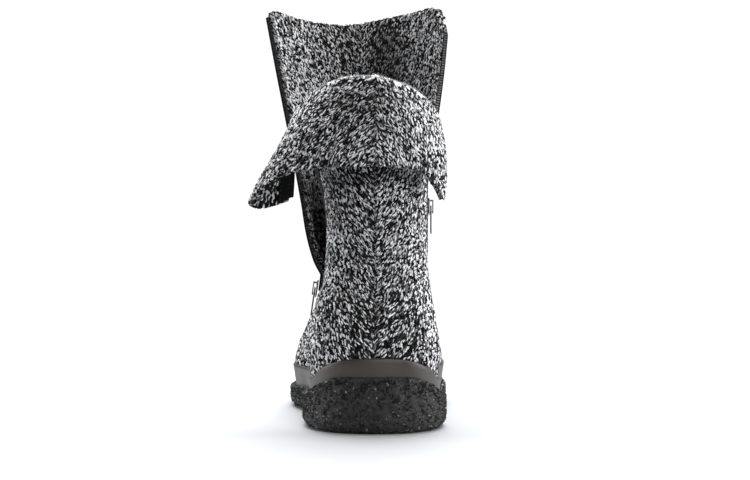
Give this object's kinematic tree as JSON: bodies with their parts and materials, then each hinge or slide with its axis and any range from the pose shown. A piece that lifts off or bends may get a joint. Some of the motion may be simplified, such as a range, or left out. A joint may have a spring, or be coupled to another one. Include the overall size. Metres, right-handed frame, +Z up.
{
  "type": "snow boot",
  "caption": "Short felted knit snow boot with side zips, rear half folded down, smooth rand and thick crepe sole.",
  "frame": {"origin": "on the floor under the middle of the heel", "axes": "+Y towards the toe, +Z up, -X to the outer side of the foot"},
  "size_m": [0.1208, 0.2821, 0.2557],
  "materials": {
    "crepe": "matte, grainy crepe",
    "rand": "smooth, low sheen",
    "knit": "felted boucle marl knit",
    "insole": "felt",
    "zip_tape": "woven tape",
    "zip_metal": "dark nickel"
  },
  "bodies": {
    "boot": {"outsole": "crepe", "rand": "rand", "insole": "insole", "upper": "knit", "zip_tape_outer_front": "zip_tape", "zip_teeth_outer_front": "zip_metal", "zip_tape_outer_rear": "zip_tape", "zip_teeth_outer_rear": "zip_metal", "zip_slider_outer": "zip_metal", "zip_tape_inner_front": "zip_tape", "zip_teeth_inner_front": "zip_metal", "zip_tape_inner_rear": "zip_tape", "zip_teeth_inner_rear": "zip_metal", "zip_slider_inner": "zip_metal"},
    "pull_outer": {"zip_pull_outer": "zip_metal"},
    "pull_inner": {"zip_pull_inner": "zip_metal"}
  },
  "joints": [
    {"name": "outer_pull_swing", "type": "hinge", "parent": "boot", "child": "pull_outer", "pos_m": [-0.03657, 0.03157, 0.08052], "axis": [0.0314, 0.9887, 0.1468], "range_deg": [0, 150]},
    {"name": "inner_pull_swing", "type": "hinge", "parent": "boot", "child": "pull_inner", "pos_m": [0.03381, 0.02577, 0.13002], "axis": [0.0062, -0.9867, -0.1624], "range_deg": [0, 150]}
  ]
}
